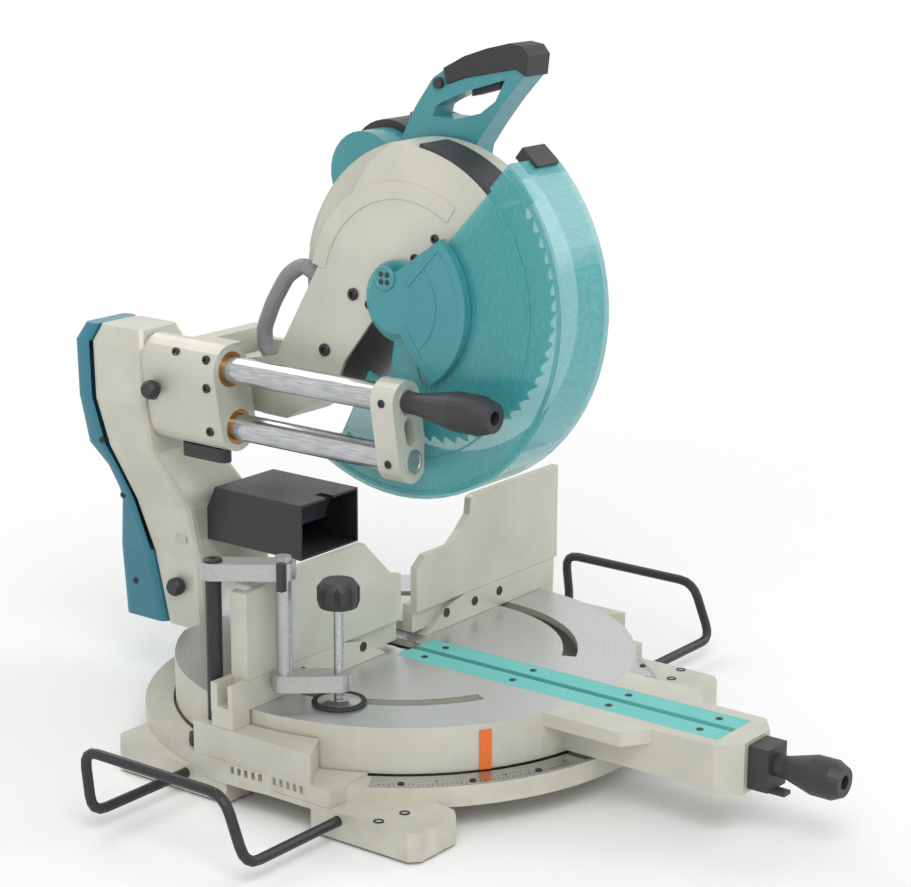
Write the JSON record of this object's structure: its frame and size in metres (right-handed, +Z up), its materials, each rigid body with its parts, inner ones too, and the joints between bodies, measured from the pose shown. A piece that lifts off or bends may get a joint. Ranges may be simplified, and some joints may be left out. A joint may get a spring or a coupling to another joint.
{
  "type": "mitre saw",
  "caption": "Sliding compound mitre saw: turntable with front arm, tilting column, rails, swinging blade head with guard, fences, holders and a vise",
  "frame": {"origin": "middle of the box's underside, where the rubber feet stand on the bench", "axes": "+Z up, the operator stands at -Y and faces +Y, +X is the saw's right hand"},
  "size_m": [0.8024, 0.8758, 0.7237],
  "materials": {
    "silver_paint": "textured silver-grey paint",
    "black_rubber": "moulded rubber",
    "bright_steel": "ground and polished steel",
    "black_steel": "black paint on steel",
    "black_plastic": "textured black plastic",
    "machined_aluminium": "turned and ground aluminium",
    "kerf_board_plastic": "moulded pale teal plastic",
    "orange_plastic": "orange plastic",
    "teal_plastic": "moulded teal plastic",
    "bronze_bush": "sintered bronze",
    "dark_grey_plastic": "moulded grey plastic",
    "clear_teal_plastic": "tinted clear polycarbonate",
    "motor_winding": "lacquered winding"
  },
  "bodies": {
    "base": {"base_casting": "silver_paint", "rubber_foot_1": "black_rubber", "rubber_foot_2": "black_rubber", "rubber_foot_3": "black_rubber", "rubber_foot_4": "black_rubber", "mitre_scale": "bright_steel", "mitre_pivot_bolt": "bright_steel", "lower_fence": "silver_paint", "vise_rod": "black_steel"},
    "left_fence": {"left_upper_fence": "silver_paint"},
    "right_fence": {"right_upper_fence": "silver_paint"},
    "left_holder": {"left_holder": "black_steel"},
    "right_holder": {"right_holder": "black_steel"},
    "left_holder_knob": {"left_holder_knob": "black_plastic"},
    "right_holder_knob": {"right_holder_knob": "black_plastic"},
    "vise_arm": {"vise_arm": "machined_aluminium"},
    "vise_thumb": {"vise_thumb_screw": "black_plastic"},
    "vise_foot_arm": {"vise_foot_arm": "machined_aluminium"},
    "vise_pad": {"vise_pad": "bright_steel"},
    "vise_knob": {"vise_screw": "bright_steel", "vise_knob": "black_plastic"},
    "turntable": {"turntable": "machined_aluminium", "left_kerf_board": "kerf_board_plastic", "right_kerf_board": "kerf_board_plastic", "mitre_pointer": "orange_plastic", "mitre_lock_housing": "black_plastic", "bevel_pivot_bolt": "bright_steel"},
    "mitre_lock": {"mitre_lock_grip": "black_plastic"},
    "latch_lever": {"latch_lever": "black_plastic"},
    "bevel_arm": {"column": "silver_paint", "rear_cover": "teal_plastic", "upper_rail": "bright_steel", "lower_rail": "bright_steel", "rail_bracket": "silver_paint", "dust_hood": "black_plastic"},
    "bevel_lock": {"bevel_lock_grip": "black_plastic"},
    "bevel_stop": {"bevel_stop_knob": "black_plastic"},
    "carriage": {"carriage": "silver_paint", "upper_rail_bush": "bronze_bush", "lower_rail_bush": "bronze_bush", "head_pivot_shaft": "bright_steel"},
    "slide_lock": {"slide_lock_knob": "black_plastic"},
    "depth_stop": {"depth_stop": "black_plastic"},
    "head": {"head_casting": "silver_paint", "return_spring": "bright_steel", "belt_case": "silver_paint", "drive_belt": "black_rubber", "motor_housing": "black_plastic", "main_handle": "teal_plastic", "handle_grip": "black_plastic", "carry_handle": "dark_grey_plastic", "centre_cover": "teal_plastic"},
    "guard": {"guard": "clear_teal_plastic"},
    "arbor": {"arbor": "bright_steel", "blade": "bright_steel"},
    "motor": {"motor_pulley": "bright_steel", "motor_armature": "motor_winding"},
    "trigger": {"trigger": "black_plastic"},
    "lock_off_button": {"lock_off_button": "black_plastic"}
  },
  "joints": [
    {"name": "left_fence_slide", "type": "slide", "parent": "base", "child": "left_fence", "axis": [-1, 0, 0], "range_m": [0, 0.1]},
    {"name": "right_fence_slide", "type": "slide", "parent": "base", "child": "right_fence", "axis": [1, 0, 0], "range_m": [0, 0.1]},
    {"name": "left_holder_slide", "type": "slide", "parent": "base", "child": "left_holder", "axis": [-1, 0, 0], "range_m": [0, 0.08]},
    {"name": "right_holder_slide", "type": "slide", "parent": "base", "child": "right_holder", "axis": [1, 0, 0], "range_m": [0, 0.08]},
    {"name": "left_holder_knob_turn", "type": "hinge", "parent": "base", "child": "left_holder_knob", "pos_m": [-0.25, 0.1425, 0.0465], "axis": [0, 0, 1], "range_deg": [0, 360]},
    {"name": "right_holder_knob_turn", "type": "hinge", "parent": "base", "child": "right_holder_knob", "pos_m": [0.25, 0.1425, 0.0465], "axis": [0, 0, 1], "range_deg": [0, 360]},
    {"name": "vise_swing", "type": "hinge", "parent": "base", "child": "vise_arm", "pos_m": [-0.25, 0.117, 0.224], "axis": [0, 0, 1], "range_deg": [-120, 0]},
    {"name": "vise_thumb_turn", "type": "hinge", "parent": "vise_arm", "child": "vise_thumb", "pos_m": [-0.2192, 0.05526, 0.2325], "axis": [-0.7964, -0.6047, 0], "range_deg": [0, 90]},
    {"name": "vise_height", "type": "slide", "parent": "vise_arm", "child": "vise_foot_arm", "axis": [0, 0, 1], "range_m": [0, 0.06]},
    {"name": "vise_knob_turn", "type": "hinge", "parent": "vise_pad", "child": "vise_knob", "pos_m": [-0.175, 0.0225, 0.195], "axis": [0, 0, 1], "range_deg": [0, 720]},
    {"name": "vise_screw_travel", "type": "slide", "parent": "vise_foot_arm", "child": "vise_pad", "axis": [0, 0, 1], "range_m": [0, 0.006]},
    {"name": "mitre_swivel", "type": "hinge", "parent": "base", "child": "turntable", "pos_m": [0, 0.0785, 0.095], "axis": [0, 0, 1], "range_deg": [-60, 60]},
    {"name": "mitre_lock_turn", "type": "hinge", "parent": "turntable", "child": "mitre_lock", "pos_m": [0, -0.3688, 0.072], "axis": [0, -1, 0], "range_deg": [0, 360]},
    {"name": "latch_press", "type": "hinge", "parent": "turntable", "child": "latch_lever", "pos_m": [0, -0.3468, 0.0457], "axis": [1, 0, 0], "range_deg": [0, 12], "stiffness_Nm_per_rad": 0.3, "springref_deg": -5.73},
    {"name": "bevel_tilt", "type": "hinge", "parent": "turntable", "child": "bevel_arm", "pos_m": [0, 0.2935, 0.095], "axis": [0, 1, 0], "range_deg": [-30, 30]},
    {"name": "bevel_lock_turn", "type": "hinge", "parent": "bevel_arm", "child": "bevel_lock", "pos_m": [-0.092, 0.0045, 0.385], "axis": [0, -1, 0], "range_deg": [0, 360]},
    {"name": "bevel_stop_turn", "type": "hinge", "parent": "bevel_arm", "child": "bevel_stop", "pos_m": [-0.061, 0.3435, 0.123], "axis": [-1, 0, 0], "range_deg": [0, 180]},
    {"name": "carriage_slide", "type": "slide", "parent": "bevel_arm", "child": "carriage", "axis": [0, 1, 0], "range_m": [-0.2, 0]},
    {"name": "slide_lock_turn", "type": "hinge", "parent": "carriage", "child": "slide_lock", "pos_m": [-0.1167, 0.3185, 0.357], "axis": [-1, 0, 0], "range_deg": [0, 360]},
    {"name": "depth_stop_swing", "type": "hinge", "parent": "carriage", "child": "depth_stop", "pos_m": [-0.081, 0.3035, 0.2957], "axis": [0, 0, -1], "range_deg": [-75, 0]},
    {"name": "head_swing", "type": "hinge", "parent": "carriage", "child": "head", "pos_m": [0, 0.2885, 0.3535], "axis": [1, 0, 0], "range_deg": [0, 50.97], "stiffness_Nm_per_rad": 20, "springref_deg": -85.94},
    {"name": "guard_turn", "type": "hinge", "parent": "head", "child": "guard", "pos_m": [-0.0525, 0.0455, 0.473], "axis": [-1, 0, 0], "range_deg": [0, 137]},
    {"name": "arbor_spin", "type": "hinge", "parent": "head", "child": "arbor", "pos_m": [0, 0.0455, 0.473], "axis": [1, 0, 0], "continuous": true},
    {"name": "motor_spin", "type": "hinge", "parent": "head", "child": "motor", "pos_m": [0.062, 0.1505, 0.581], "axis": [1, 0, 0], "continuous": true},
    {"name": "trigger_press", "type": "slide", "parent": "head", "child": "trigger", "axis": [0, 0, 1], "range_m": [0, 0.004], "stiffness_N_per_m": 400, "springref_m": -0.002},
    {"name": "button_press", "type": "slide", "parent": "head", "child": "lock_off_button", "axis": [1, 0, 0], "range_m": [0, 0.003], "stiffness_N_per_m": 300, "springref_m": -0.002}
  ],
  "couplings": [
    {"joint": "guard_turn", "follows": "head_swing", "ratio": 2.688},
    {"joint": "motor_spin", "follows": "arbor_spin", "ratio": 1.6667},
    {"joint": "vise_screw_travel", "follows": "vise_knob_turn", "m_per_rad": 0.00047746}
  ]
}
